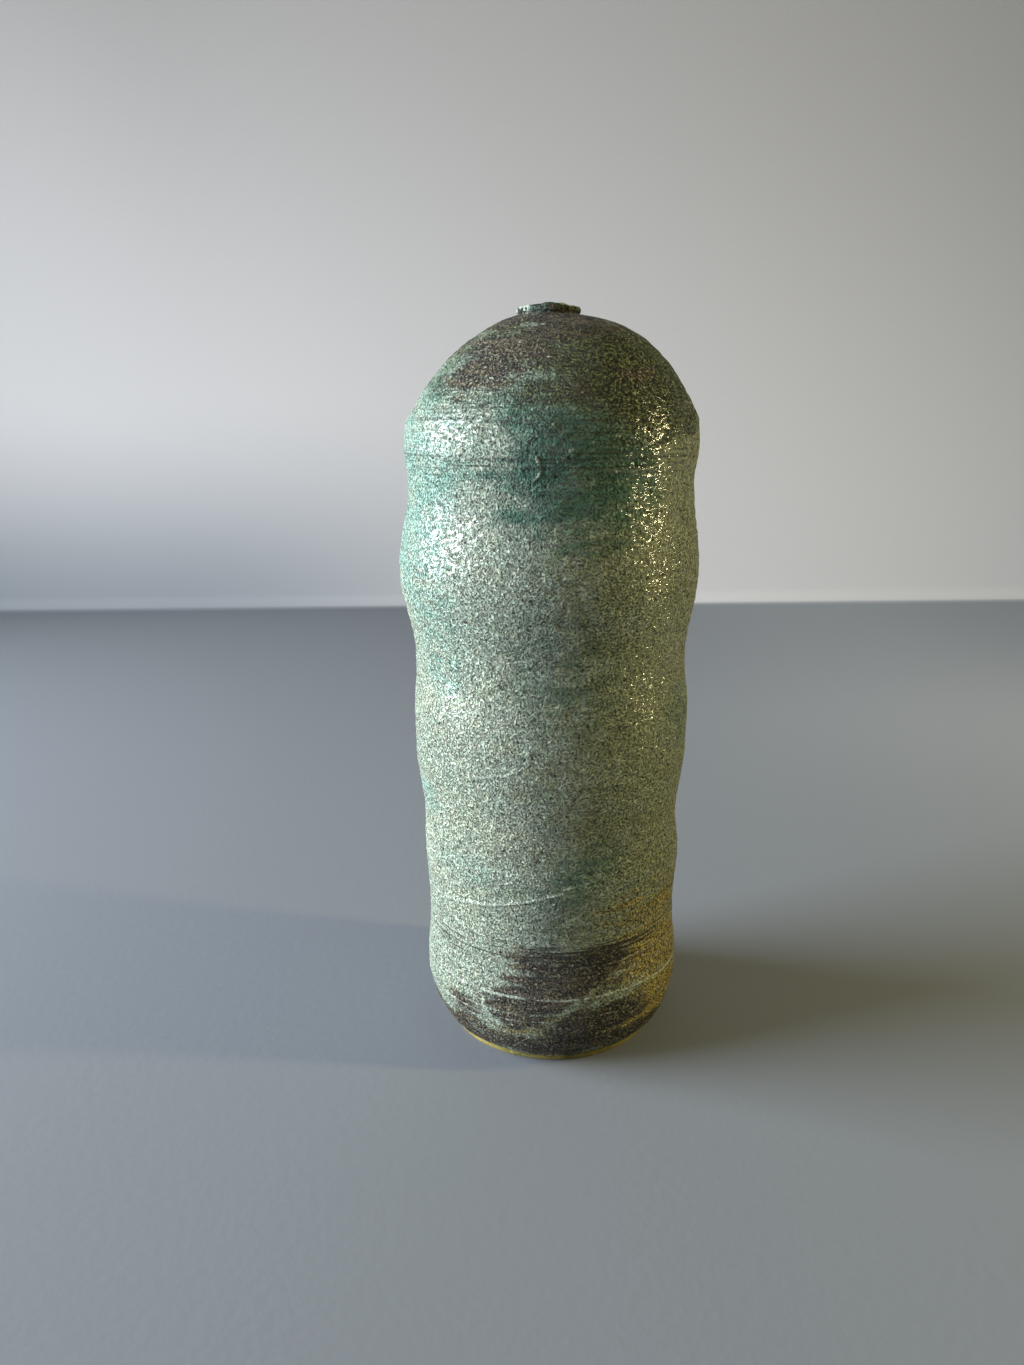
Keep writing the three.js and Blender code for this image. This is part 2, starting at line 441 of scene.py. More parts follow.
def turned_object(
    name: str, rows: np.ndarray, marks: dict[Mark, np.ndarray] | None = None
) -> bpy.types.Object:
    """Make a closed turned mesh from rows of points, the last of which joins the first.

    Args:
        name: Name of the new object.
        rows: Positions in millimetres, as rows by columns by three.
        marks: Values that the finish reads, as rows by columns.

    Returns:
        The object, linked to the scene, with smooth faces that point out.
    """
    count, columns = rows.shape[:2]
    places = rows.reshape(-1, 3) * MM
    corner_row = np.arange(count)[:, None, None] + np.array([0, 0, 1, 1])
    corner_column = np.arange(columns)[None, :, None] + np.array([0, 1, 1, 0])
    quads = (corner_row % count * columns + corner_column % columns).reshape(-1, 4)
    flat_map = np.stack(np.broadcast_arrays(corner_column / columns, corner_row / count), axis=-1)
    mesh = bpy.data.meshes.new(name)
    mesh.vertices.add(len(places))
    mesh.vertices.foreach_set("co", places.astype(np.float32).reshape(-1))
    mesh.loops.add(quads.size)
    mesh.loops.foreach_set("vertex_index", quads.astype(np.int32).reshape(-1))
    mesh.polygons.add(len(quads))
    mesh.polygons.foreach_set("loop_start", np.arange(0, quads.size, 4, dtype=np.int32))
    mesh.polygons.foreach_set("use_smooth", np.ones(len(quads), bool))
    mesh.uv_layers.new(name="turned").data.foreach_set("uv", flat_map.astype(np.float32).reshape(-1))
    mesh.update(calc_edges=True)
    for bloom, values in (marks or {}).items():
        layer = mesh.attributes.new(bloom.value, "FLOAT", "POINT")
        layer.data.foreach_set("value", values.astype(np.float32).reshape(-1))
    mesh.validate()
    thing = bpy.data.objects.new(name, mesh)
    bpy.context.scene.collection.objects.link(thing)
    if signed_volume(places, quads) < 0:
        mesh.flip_normals()
    return thing


def signed_volume(places: np.ndarray, quads: np.ndarray) -> float:
    """Volume inside a closed mesh, below zero where its faces point in.

    Args:
        places: Positions of the vertices.
        quads: The four vertices of each face.

    Returns:
        The volume.
    """
    first, *others = (places[quads[:, k]] for k in range(4))
    return sum(float(np.einsum("ij,ij->", first, np.cross(*pair))) / 6 for pair in zip(others, others[1:]))


@dataclass(frozen=True)
class Tint:
    """A colour as seen in daylight, written as its sRGB hexadecimal."""

    code: str

    @property
    def linear(self) -> tuple[float, float, float, float]:
        """The colour as linear light, opaque."""
        shares = [int(self.code[k : k + 2], 16) / 255 for k in (1, 3, 5)]
        light = [c / 12.92 if c <= 0.04045 else ((c + 0.055) / 1.055) ** 2.4 for c in shares]
        return (*light, 1.0)


@dataclass(frozen=True)
class Pattern:
    """A cloudy noise in the glaze, the clay or the stage.

    size is the size of its features in metres, detail the number of finer layers, rough their
    strength, and shift an offset that picks another part of the noise. across is a factor round the
    vase, which draws the features out when it is below 1.
    """

    size: float
    detail: float = 2.0
    rough: float = 0.5
    shift: float = 0.0
    across: float = 1.0


@dataclass(frozen=True)
class Ramp:
    """A smooth rise: the value that gives 0, the one that gives the top, and the top."""

    low: float
    high: float
    top: float = 1.0


@dataclass(frozen=True)
class Specks:
    """Round specks at scattered points: their spacing in metres, an offset, and how they fade out."""

    spacing: float
    shift: float
    fade: Ramp


class Edge(Enum):
    """How far a bloom's edge wanders with the fine, the drawn-out and the broad noise."""

    SOFT = (0.05, 0.14, 0.16)
    STREAKY = (0.14, 0.3, 0.0)
    GRITTY = (0.14, 0.3, 0.12)


EVEN = Ramp(0.35, 0.65)


class NodeTree:
    """Writes the node tree of one material."""

    def __init__(self, name: str) -> None:
        """Start a material with an empty tree.

        Args:
            name: Name of the material.
        """
        self.material = bpy.data.materials.new(name)
        self.material.use_nodes = True
        self.tree = self.material.node_tree
        self.tree.nodes.clear()
        self.place = self.add("ShaderNodeTexCoord").outputs["Object"]

    def add(self, kind: str, inputs: dict | None = None, **settings) -> bpy.types.Node:
        """Add a node.

        Args:
            kind: Type name of the node.
            inputs: Value or source socket for each named or numbered input.
            **settings: The node's own properties.

        Returns:
            The node.
        """
        node = self.tree.nodes.new(kind)
        for key, value in settings.items():
            setattr(node, key, value)
        for key, value in (inputs or {}).items():
            if isinstance(value, bpy.types.NodeSocket):
                self.tree.links.new(value, node.inputs[key])
            else:
                node.inputs[key].default_value = value
        return node

    def moved(self, across: float, shift: float) -> bpy.types.NodeSocket:
        """Place on the object, stretched round the vase and shifted.

        Args:
            across: Factor along X and Y.
            shift: Offset along every axis, in metres, which picks another part of a pattern.

        Returns:
            The vector's socket.
        """
        inputs = {"Vector": self.place, "Location": (shift,) * 3, "Scale": (across, across, 1.0)}
        return self.add("ShaderNodeMapping", inputs).outputs["Vector"]

    def noise(self, pattern: Pattern) -> bpy.types.NodeSocket:
        """Cloudy noise from 0 to 1.

        Args:
            pattern: Its sizes.

        Returns:
            The socket of its value.
        """
        place = self.moved(pattern.across, pattern.shift)
        sizes = {"Scale": 1 / pattern.size, "Detail": pattern.detail, "Roughness": pattern.rough}
        return self.add("ShaderNodeTexNoise", {"Vector": place, **sizes}).outputs[0]

    def specks(self, specks: Specks) -> bpy.types.NodeSocket:
        """Share of a colour that scattered specks show.

        Args:
            specks: Their spacing and how they fade.

        Returns:
            The socket of the share.
        """
        inputs = {"Vector": self.moved(1.0, specks.shift), "Scale": 1 / specks.spacing}
        away = self.add("ShaderNodeTexVoronoi", inputs).outputs["Distance"]
        return self.rise(away, specks.fade)

    def mark(self, bloom: Mark) -> bpy.types.NodeSocket:
        """Value that the mesh carries for an area of the glaze."""
        return self.add("ShaderNodeAttribute", attribute_name=bloom.value).outputs["Fac"]

    def calc(self, operation: str, *values: float | bpy.types.NodeSocket) -> bpy.types.NodeSocket:
        """Arithmetic on values or sockets.

        Args:
            operation: Name of the operation.
            *values: Its operands.

        Returns:
            The socket of the result.
        """
        return self.add("ShaderNodeMath", dict(enumerate(values)), operation=operation).outputs[0]

    def rise(self, value: bpy.types.NodeSocket, ramp: Ramp) -> bpy.types.NodeSocket:
        """Smooth rise of a value.

        Args:
            value: Socket to map.
            ramp: Where the rise starts and ends, and its top.

        Returns:
            The socket of the result.
        """
        ends = {"From Min": ramp.low, "From Max": ramp.high, "To Min": 0.0, "To Max": ramp.top}
        node = self.add("ShaderNodeMapRange", {"Value": value, **ends}, interpolation_type="SMOOTHSTEP")
        return node.outputs[0]

    def span(self, value: bpy.types.NodeSocket, low: float, high: float) -> bpy.types.NodeSocket:
        """Value from 0 to 1 mapped straight to low and high."""
        inputs = {"Value": value, "From Min": 0.0, "From Max": 1.0, "To Min": low, "To Max": high}
        return self.add("ShaderNodeMapRange", inputs).outputs[0]

    def blend(
        self,
        share: bpy.types.NodeSocket | float,
        under: bpy.types.NodeSocket | Tint,
        over: bpy.types.NodeSocket | Tint,
        kind: str = "MIX",
    ) -> bpy.types.NodeSocket:
        """Blend of two colours.

        Args:
            share: How much of the upper colour shows.
            under: The lower colour.
            over: The upper colour.
            kind: How they blend.

        Returns:
            The socket of the blended colour.
        """
        node = self.add("ShaderNodeMix", data_type="RGBA", blend_type=kind)
        for index, value in ((0, share), (6, under), (7, over)):
            if isinstance(value, bpy.types.NodeSocket):
                self.tree.links.new(value, node.inputs[index])
            else:
                node.inputs[index].default_value = value.linear if isinstance(value, Tint) else value
        return node.outputs[2]

    def bump(
        self,
        height: bpy.types.NodeSocket,
        depth: float,
        strength: float = 1.0,
        under: bpy.types.NodeSocket | None = None,
    ) -> bpy.types.NodeSocket:
        """Relief from a height value.

        Args:
            height: Socket of the height, from 0 to 1.
            depth: Height of a value of 1, in metres.
            strength: Share of the relief that shows.
            under: Normal of a coarser relief under this one.

        Returns:
            The socket of the normal.
        """
        inputs = {"Height": height, "Distance": depth, "Strength": strength}
        if under is not None:
            inputs["Normal"] = under
        return self.add("ShaderNodeBump", inputs).outputs["Normal"]

    def finish(self, inputs: dict) -> bpy.types.Material:
        """Close the tree with its shader.

        Args:
            inputs: Value or source socket of the shader's inputs.

        Returns:
            The finished material.
        """
        shader = self.add("ShaderNodeBsdfPrincipled", inputs)
        out = self.add("ShaderNodeOutputMaterial")
        self.tree.links.new(shader.outputs["BSDF"], out.inputs["Surface"])
        return self.material


@dataclass(frozen=True)
class CopperGlaze:
    """Crusted copper glaze: pebbly and pitted, its colour changed by copper, ash and smoke."""

    sage: Tint = Tint("#9aaa96")
    ash: Tint = Tint("#a3a58d")
    cream: Tint = Tint("#b8bfa4")
    turquoise: Tint = Tint("#83ab9b")
    teal: Tint = Tint("#41705c")
    aqua: Tint = Tint("#7bb2a0")
    khaki: Tint = Tint("#8f9776")
    gold: Tint = Tint("#786826")
    gold_grain: Tint = Tint("#ad9e54")
    moss: Tint = Tint("#262f16")
    moss_grain: Tint = Tint("#738055")
    smoke: Tint = Tint("#15100a")
    smoked_grain: Tint = Tint("#7a7158")
    strand: Tint = Tint("#c6d2bf")
    pit: Tint = Tint("#1b1b15")
    ash_patch: Pattern = Pattern(0.0042, 4.0, 0.65, 0.83)
    ash_share: Ramp = Ramp(0.42, 0.68, 0.6)
    fine: Pattern = Pattern(0.0015, 2.0, 0.6, 0.31)
    drawn: Pattern = Pattern(0.003, 3.0, 0.6, 0.73, 0.14)
    broad: Pattern = Pattern(0.007, 3.0, 0.6, 0.57)
    edge_grows: Ramp = Ramp(0.0, 0.35)
    bloom_start: float = 0.02
    gold_grains: Ramp = Ramp(0.4, 0.6)
    moss_grains: Ramp = Ramp(0.44, 0.66)
    smoked_grains: Ramp = Ramp(0.51, 0.65)
    smoke_streaks: Ramp = Ramp(0.55, 1.0, 0.45)
    grain: Pattern = Pattern(0.00078, 2.0, 0.65, 0.11, 0.9)
    grain_rise: Ramp = Ramp(0.29, 0.57)
    # Darkens the colour in the grains' hollows and lightens it on their tops: partly the glaze's own speckle,
    # partly painted shade and light of the relief.
    grain_painted_shade: tuple[float, float] = (0.46, 1.15)
    grain_depth: float = 0.0017
    grain_in_gloss: float = 0.3
    lump: Pattern = Pattern(0.0014, 2.0, 0.55, 0.91, 0.75)
    lump_rise: Ramp = Ramp(0.3, 0.7)
    # Does the same for the lumps: painted shade in their hollows, painted light on their tops.
    lump_painted_shade: tuple[float, float] = (0.84, 1.12)
    lump_depth: float = 0.0015
    lump_in_gloss: float = 0.7
    wave: Pattern = Pattern(0.0013, 2.0, 0.55, 0.67, 0.36)
    wave_depth: float = 0.0012
    crest: Pattern = Pattern(0.0013, 1.0, 0.5, 0.97, 0.5)
    crest_shine: Ramp = Ramp(0.42, 0.6, 1.35)
    crest_in_film: float = 0.6
    film_depth: float = 0.0008
    film_roughness: float = 0.09
    film_ior: float = 1.7
    glass_ior: float = 1.42
    hole: Pattern = Pattern(0.0012, 1.0, 0.5, 0.37, 0.8)
    hole_share: Ramp = Ramp(0.37, 0.29, 0.85)
    streak: Pattern = Pattern(0.001, 3.0, 0.6, 0.23, 0.1)
    pale_streaks: Ramp = Ramp(0.60, 0.76, 0.4)
    dark_streaks: Ramp = Ramp(0.42, 0.28, 0.6)
    streak_depth: float = 0.0008
    faint_streaks: float = 0.25
    smoke_lines: float = 0.6
    cut: Pattern = Pattern(0.0009, 2.0, 0.5, 0.53, 0.025)
    cut_share: Ramp = Ramp(0.48, 0.38, 0.9)
    thread_and_highlight_share: Ramp = Ramp(0.15, 0.8, 0.95)
    pit_and_shade_share: Ramp = Ramp(0.1, 0.6, 0.92)
    pinholes: Specks = Specks(0.0048, 0.41, Ramp(0.12, 0.07, 0.8))
    pale_specks: Specks = Specks(0.0068, 0.77, Ramp(0.1, 0.06, 0.6))
    dull_patch: Pattern = Pattern(0.004, 2.0, 0.5, 0.19)
    dullness: tuple[float, float] = (0.48, 0.60)

    def blooms(self, nodes: NodeTree, grains: bpy.types.NodeSocket) -> bpy.types.NodeSocket:
        """Colour of the blooms, laid over the sage glaze with grainy edges.

        Args:
            nodes: The material's node tree.
            grains: Height of the glaze's grains.

        Returns:
            The socket of the colour.
        """
        fine, drawn, broad = (nodes.rise(nodes.noise(p), EVEN) for p in (self.fine, self.drawn, self.broad))
        edges = {}
        for edge in Edge:
            swings = (nodes.span(n, -far, far) for n, far in zip((fine, drawn, broad), edge.value) if far)
            edges[edge] = reduce(lambda one, other: nodes.calc("ADD", one, other), swings)
        smoked = nodes.blend(nodes.rise(grains, self.smoked_grains), self.smoke, self.smoked_grain)
        smoked = nodes.blend(nodes.rise(drawn, self.smoke_streaks), smoked, self.smoked_grain)
        mossy = nodes.blend(nodes.rise(grains, self.moss_grains), self.moss, self.moss_grain)
        golden = nodes.blend(nodes.rise(grains, self.gold_grains), self.gold, self.gold_grain)
        layers = (
            (Mark.CREAM, self.cream, Edge.SOFT, 0.98),
            (Mark.KHAKI, self.khaki, Edge.SOFT, 0.98),
            (Mark.TURQUOISE, self.turquoise, Edge.SOFT, 0.98),
            (Mark.GOLD, golden, Edge.STREAKY, 0.98),
            (Mark.TEAL, self.teal, Edge.SOFT, 0.98),
            (Mark.AQUA, self.aqua, Edge.SOFT, 0.98),
            (Mark.MOSS, mossy, Edge.SOFT, 0.8),
            (Mark.SMOKE, smoked, Edge.GRITTY, 0.85),
        )
        colour = nodes.blend(nodes.rise(nodes.noise(self.ash_patch), self.ash_share), self.sage, self.ash)
        for bloom, tint, edge, full in layers:
            mark = nodes.mark(bloom)
            uneven = nodes.calc("MULTIPLY", edges[edge], nodes.rise(mark, self.edge_grows))
            share = nodes.rise(nodes.calc("ADD", mark, uneven), Ramp(self.bloom_start, full))
            colour = nodes.blend(share, colour, tint)
        return colour

    def shade(
        self, nodes: NodeTree, colour: bpy.types.NodeSocket, share: bpy.types.NodeSocket
    ) -> bpy.types.NodeSocket:
        """Darken or lighten a colour alike in all three parts.

        Args:
            nodes: The material's node tree.
            colour: The colour's socket.
            share: Factor by which it is multiplied.

        Returns:
            The socket of the new colour.
        """
        grey = nodes.add("ShaderNodeCombineColor", {0: share, 1: share, 2: share}).outputs[0]
        return nodes.blend(1.0, colour, grey, "MULTIPLY")

    def material(self) -> bpy.types.Material:
        """Build the glaze's material."""
        nodes = NodeTree("copper_glaze")
        grains, lumps, waves = nodes.noise(self.grain), nodes.noise(self.lump), nodes.noise(self.wave)
        streaks, crest = nodes.noise(self.streak), nodes.noise(self.crest)
        pebbled = nodes.rise(grains, self.grain_rise)
        gloss, line_mark = nodes.mark(Mark.GLOSS), nodes.mark(Mark.LINES)
        sooty = nodes.calc("MULTIPLY", nodes.mark(Mark.SMOKE), self.smoke_lines)
        lined = nodes.span(nodes.calc("MAXIMUM", line_mark, sooty), self.faint_streaks, 1.0)
        cuts = nodes.rise(nodes.noise(self.cut), self.cut_share)

        colour = self.blooms(nodes, grains)
        # Painted shade and light: the colour is darkened in the hollows of grains and lumps and lightened on
        # their tops, partly as the glaze's own speckle.
        colour = self.shade(nodes, colour, nodes.span(pebbled, *self.grain_painted_shade))
        colour = self.shade(nodes, colour, nodes.span(nodes.rise(lumps, self.lump_rise), *self.lump_painted_shade))
        laid = (
            (nodes.rise(nodes.noise(self.hole), self.hole_share), self.pit),
            (nodes.calc("MULTIPLY", nodes.rise(streaks, self.pale_streaks), lined), self.strand),
            (nodes.calc("MULTIPLY", nodes.rise(streaks, self.dark_streaks), lined), self.pit),
            (nodes.calc("MULTIPLY", cuts, line_mark), self.pit),
            # The strand mark whitens threads and nubs, partly as painted highlight, and paints the lip's
            # highlights.
            (nodes.rise(nodes.mark(Mark.STRAND), self.thread_and_highlight_share), self.strand),
            (nodes.specks(self.pinholes), self.pit),
            # The pit mark holds real pits and painted shade: groove bottoms, the lip's hollows and its
            # underside.
            (nodes.rise(nodes.mark(Mark.PIT), self.pit_and_shade_share), self.pit),
            (nodes.specks(self.pale_specks), self.strand),
        )
        for share, tint in laid:
            colour = nodes.blend(share, colour, tint)

        heights = (
            (lumps, nodes.span(gloss, 1.0, self.lump_in_gloss), self.lump_depth),
            (waves, gloss, self.wave_depth),
            (pebbled, nodes.span(gloss, 1.0, self.grain_in_gloss), self.grain_depth),
            (streaks, lined, self.streak_depth),
        )
        relief = None
        for height, share, depth in heights:
            relief = nodes.bump(nodes.calc("MULTIPLY", height, share), depth, under=relief)
        ripple = nodes.calc("ADD", waves, nodes.calc("MULTIPLY", crest, self.crest_in_film))
        inputs = {
            "Base Color": colour,
            "Roughness": nodes.span(nodes.rise(nodes.noise(self.dull_patch), EVEN), *self.dullness),
            "Normal": relief,
            "IOR": self.glass_ior,
            "Coat Weight": nodes.calc("MULTIPLY", gloss, nodes.rise(crest, self.crest_shine)),
            "Coat Roughness": self.film_roughness,
            "Coat IOR": self.film_ior,
            "Coat Normal": nodes.bump(ripple, self.film_depth),
        }
        return nodes.finish(inputs)


@dataclass(frozen=True)
class BareClay:
    """Bare grogged clay: sandy and matt, with darker grog and a film of ash."""

    name: str
    body: Tint
    grog: Tint
    film: Tint
    pale: Tint = Tint("#cfc8a8")
    drift: Pattern = Pattern(0.009, 4.0, 0.6, 0.27)
    film_share: Ramp = Ramp(0.38, 0.66, 0.8)
    grain: Pattern = Pattern(0.0008, 3.0, 0.65, 0.49)
    grog_share: Ramp = Ramp(0.52, 0.7, 0.75)
    grain_depth: float = 0.0004
    grain_strength: float = 0.9
    pale_grog: Specks = Specks(0.0024, 0.61, Ramp(0.16, 0.08, 0.6))
    turning: Pattern = Pattern(0.0012, 2.0, 0.5, 0.13, 0.08)
    turning_depth: float = 0.0003
    turning_strength: float = 0.6
    dullness: tuple[float, float] = (0.78, 0.98)
    shine: float = 0.3

    def material(self) -> bpy.types.Material:
        """Build the clay's material."""
        nodes = NodeTree(self.name)
        grains = nodes.noise(self.grain)
        colour = nodes.blend(nodes.rise(nodes.noise(self.drift), self.film_share), self.body, self.film)
        colour = nodes.blend(nodes.rise(grains, self.grog_share), colour, self.grog)
        colour = nodes.blend(nodes.specks(self.pale_grog), colour, self.pale)
        turned = nodes.bump(nodes.noise(self.turning), self.turning_depth, self.turning_strength)
        inputs = {
            "Base Color": colour,
            "Roughness": nodes.span(grains, *self.dullness),
            "Normal": nodes.bump(grains, self.grain_depth, self.grain_strength, turned),
            "Specular IOR Level": self.shine,
        }
        return nodes.finish(inputs)


@dataclass(frozen=True)
class PouredLining:
    """Thin poured glaze inside: satin, darker in cloudy pools."""

    pale: Tint = Tint("#6f8478")
    dark: Tint = Tint("#3d5148")
    pool: Pattern = Pattern(0.012, 4.0, 0.6, 0.37)
    ring: Pattern = Pattern(0.003, 2.0, 0.5, 0.71, 0.05)
    ring_depth: float = 0.0004
    ring_strength: float = 0.6
    dullness: tuple[float, float] = (0.32, 0.48)

    def material(self) -> bpy.types.Material:
        """Build the lining's material."""
        nodes = NodeTree("lining_glaze")
        pools = nodes.rise(nodes.noise(self.pool), EVEN)
        inputs = {
            "Base Color": nodes.blend(pools, self.pale, self.dark),
            "Roughness": nodes.span(pools, *self.dullness),
            "Normal": nodes.bump(nodes.noise(self.ring), self.ring_depth, self.ring_strength),
        }
        return nodes.finish(inputs)


@dataclass(frozen=True)
class Patch:
    """An area of bloom on the wall.

    degrees and height say where its middle lies, half_width and half_height how far it reaches in
    millimetres, strength how full it is, soft how wide its edge is, as a share of its size, and
    tilt by how many degrees its right end is raised.
    """

    bloom: Mark
    degrees: float
    height: float
    half_width: float
    half_height: float
    strength: float
    soft: float
    tilt: float = 0.0


@dataclass(frozen=True)
class LineBand:
    """A band of fine throwing lines.

    low, high, depth and spacing are in millimetres, degrees and half_turn give the arc's middle and
    its half in degrees, and dark is how much painted shade the bottoms of the lines' grooves get.
    """

    low: float
    high: float
    depth: float
    spacing: float
    degrees: float = 0.0
    half_turn: float = 180.0
    dark: float = 0.0


@dataclass(frozen=True)
class Strand:
    """A thin raised thread of glaze through places given as azimuth and height.

    width and rise are in millimetres; pale is how much it whitens the glaze, partly as the thread's own
    paler glaze and partly as painted highlight on its raised top, and clears how much smoke it keeps off.
    """

    path: tuple[tuple[float, float], ...]
    width: float = 0.45
    rise: float = 0.25
    pale: float = 1.0
    clears: float = 0.0


@dataclass(frozen=True)
class Dent:
    """A pit in the glaze, or with a rise above zero a nub on it."""

    degrees: float
    height: float
    radius: float
    rise: float
    mark: Mark | None = Mark.PIT


PATCHES = (
    # Right-hand side, and the darker middle
    Patch(Mark.KHAKI, 78, 150, 66, 160, 1.0, 0.85),
    Patch(Mark.GOLD, 54, 42, 26, 22, 0.9, 0.8),
    Patch(Mark.GOLD, 34, 66, 20, 9, 0.4, 0.8, 10),
    Patch(Mark.GOLD, 62, 96, 20, 20, 0.2, 0.9),
    Patch(Mark.GOLD, 38, 17, 44, 9, 0.9, 0.6),
    Patch(Mark.TEAL, 8, 190, 20, 50, 0.18, 0.9),
    Patch(Mark.TEAL, 4, 152, 16, 13, 0.3, 0.8),
    Patch(Mark.TEAL, 0, 176, 18, 16, 0.2, 0.8),
    Patch(Mark.TEAL, 14, 88, 17, 9, 0.5, 0.7, 12),
    Patch(Mark.TEAL, 4, 74, 16, 13, 0.3, 0.8, 20),
    Patch(Mark.TEAL, 62, 142, 16, 12, 0.35, 0.7),
    # Shoulder
    Patch(Mark.TEAL, 4, 240, 24, 24, 0.75, 0.65),
    Patch(Mark.TEAL, 18, 252, 22, 12, 0.55, 0.7),
    Patch(Mark.TEAL, 22, 228, 20, 14, 0.5, 0.7),
    Patch(Mark.TEAL, -13, 231, 13, 10, 0.5, 0.7),
    Patch(Mark.TEAL, -44, 236, 22, 6, 0.2, 0.8),
    Patch(Mark.TURQUOISE, -60, 240, 36, 16, 0.6, 0.7),
    Patch(Mark.TURQUOISE, -66, 215, 26, 22, 0.55, 0.7),
    Patch(Mark.CREAM, -61, 232, 9, 4, 0.54, 0.6),
    # Dome
    Patch(Mark.MOSS, -10, 284, 60, 14, 0.5, 0.7),
    Patch(Mark.SMOKE, 0, 290, 30, 14, 1.0, 0.6),
    Patch(Mark.SMOKE, -33, 272, 17, 11.5, 0.9, 0.6, 12),
    Patch(Mark.SMOKE, -64, 280, 14, 8, 0.5, 0.7),
    Patch(Mark.TEAL, -45, 272, 26, 14, 0.4, 0.8),
    Patch(Mark.SMOKE, 16, 283, 20, 7, 0.7, 0.6),
    Patch(Mark.SMOKE, 9, 261.5, 2.2, 5, 0.5, 0.8),
    Patch(Mark.SMOKE, 30, 269, 11, 6, 0.5, 0.9),
    Patch(Mark.MOSS, -45, 275, 46, 19, 0.35, 0.7),
    Patch(Mark.MOSS, 42, 268, 42, 22, 1.0, 0.5),
    Patch(Mark.MOSS, 80, 272, 26, 14, 0.8, 0.6),
    Patch(Mark.TEAL, -3, 266, 12, 11, 0.6, 0.7),
    Patch(Mark.TURQUOISE, -66, 264, 18, 10, 0.5, 0.7),
    Patch(Mark.TEAL, -68, 270, 22, 11, 0.3, 0.8),
    Patch(Mark.TEAL, -12, 258, 18, 8, 0.3, 0.8),
    # Middle
    Patch(Mark.AQUA, -48, 160, 10, 10, 0.4, 0.8, -30),
    Patch(Mark.TURQUOISE, -52, 182, 22, 22, 0.4, 0.8),
    Patch(Mark.CREAM, -40, 148, 36, 11, 0.36, 0.8),
    Patch(Mark.CREAM, -76, 182, 14, 12, 0.48, 0.8),
    Patch(Mark.CREAM, -35, 104, 40, 11, 0.42, 0.8),
    Patch(Mark.CREAM, -55, 84, 36, 13, 0.3, 0.9),
    Patch(Mark.CREAM, 6, 132, 26, 10, 0.24, 0.9),
    Patch(Mark.CREAM, -28, 60, 30, 8, 0.24, 0.9),
    Patch(Mark.TURQUOISE, -68, 107, 12, 7, 0.6, 0.7),
    Patch(Mark.TURQUOISE, -38, 84, 20, 6, 0.35, 0.8),
    # Gloss
    Patch(Mark.GLOSS, -44, 248, 36, 7, 0.4, 0.5),
    Patch(Mark.GLOSS, -44, 210, 36, 12, 0.47, 0.6),
    Patch(Mark.GLOSS, 180, 246, 80, 6.5, 0.55, 0.5),
    Patch(Mark.GLOSS, 180, 208, 80, 12, 0.55, 0.6),
    Patch(Mark.GLOSS, -44, 151, 14, 8, 0.3, 0.7),
    Patch(Mark.GLOSS, 44, 166, 15, 44, 0.6, 0.8),
    Patch(Mark.GLOSS, 40, 229, 14, 29, 1.0, 0.95),
    Patch(Mark.GLOSS, 46, 44, 16, 16, 0.5, 0.8),
    # Smoked base
    Patch(Mark.SMOKE, 3, 43, 24, 11, 0.95, 0.45),
    Patch(Mark.SMOKE, 23, 47, 9, 6, 0.95, 0.4, 30),
    Patch(Mark.SMOKE, -12, 29, 21, 8, 0.95, 0.45),
    Patch(Mark.SMOKE, 18, 21.5, 21, 7.5, 0.95, 0.4, 8),
    Patch(Mark.SMOKE, -43, 20, 9, 9, 0.85, 0.6),
    Patch(Mark.SMOKE, -77, 14, 12, 7, 0.8, 0.6),
    Patch(Mark.SMOKE, -52, 8, 22, 7.5, 1.0, 0.5),
    Patch(Mark.SMOKE, 0, 9.5, 220, 5.5, 0.95, 0.5),
    Patch(Mark.MOSS, 40, 9, 26, 5, 0.35, 0.6),
    Patch(Mark.GOLD, 0, 3.2, 220, 1.8, 0.7, 0.5),
    # Back
    Patch(Mark.KHAKI, 135, 120, 40, 90, 0.6, 0.9),
    Patch(Mark.TEAL, 150, 215, 34, 26, 0.6, 0.8),
    Patch(Mark.TURQUOISE, -170, 235, 40, 18, 0.6, 0.7),
    Patch(Mark.TURQUOISE, -145, 150, 26, 20, 0.45, 0.8),
    Patch(Mark.AQUA, 176, 120, 10, 12, 0.5, 0.8, 20),
    Patch(Mark.CREAM, -160, 100, 36, 14, 0.36, 0.9),
    Patch(Mark.CREAM, 160, 170, 30, 12, 0.3, 0.9),
    Patch(Mark.CREAM, -110, 200, 26, 14, 0.3, 0.9),
    Patch(Mark.TURQUOISE, -112, 70, 24, 16, 0.5, 0.8),
    Patch(Mark.GOLD, 110, 44, 22, 14, 0.5, 0.7),
    Patch(Mark.MOSS, 110, 268, 30, 14, 0.6, 0.6),
    Patch(Mark.SMOKE, 170, 32, 36, 11, 0.9, 0.35, 6),
    Patch(Mark.SMOKE, -135, 18, 24, 8, 0.8, 0.4),
    Patch(Mark.SMOKE, 120, 16, 26, 7, 0.8, 0.4),
    Patch(Mark.SMOKE, 155, 274, 30, 11, 0.9, 0.5, -10),
    Patch(Mark.SMOKE, -140, 280, 26, 10, 0.8, 0.5),
)

LINE_BANDS = (
    LineBand(4, 292, 0.06, 1.5),
    LineBand(248, 264, 0.16, 1.2, 15, 90, 0.5),
    LineBand(234, 243, 0.2, 1.3, -20, 80, 0.6),
    LineBand(218, 232, 0.12, 1.5, -50, 45, 0.2),
    LineBand(46, 58, 0.3, 0.9, 10, 75, 1.0),
    LineBand(28, 47, 0.16, 1.1, 62, 30, 0.1),
    LineBand(16, 34, 0.16, 1.2, 0, 180, 0.1),
    LineBand(62, 70, 0.14, 1.2, 30, 60, 0.3),
)

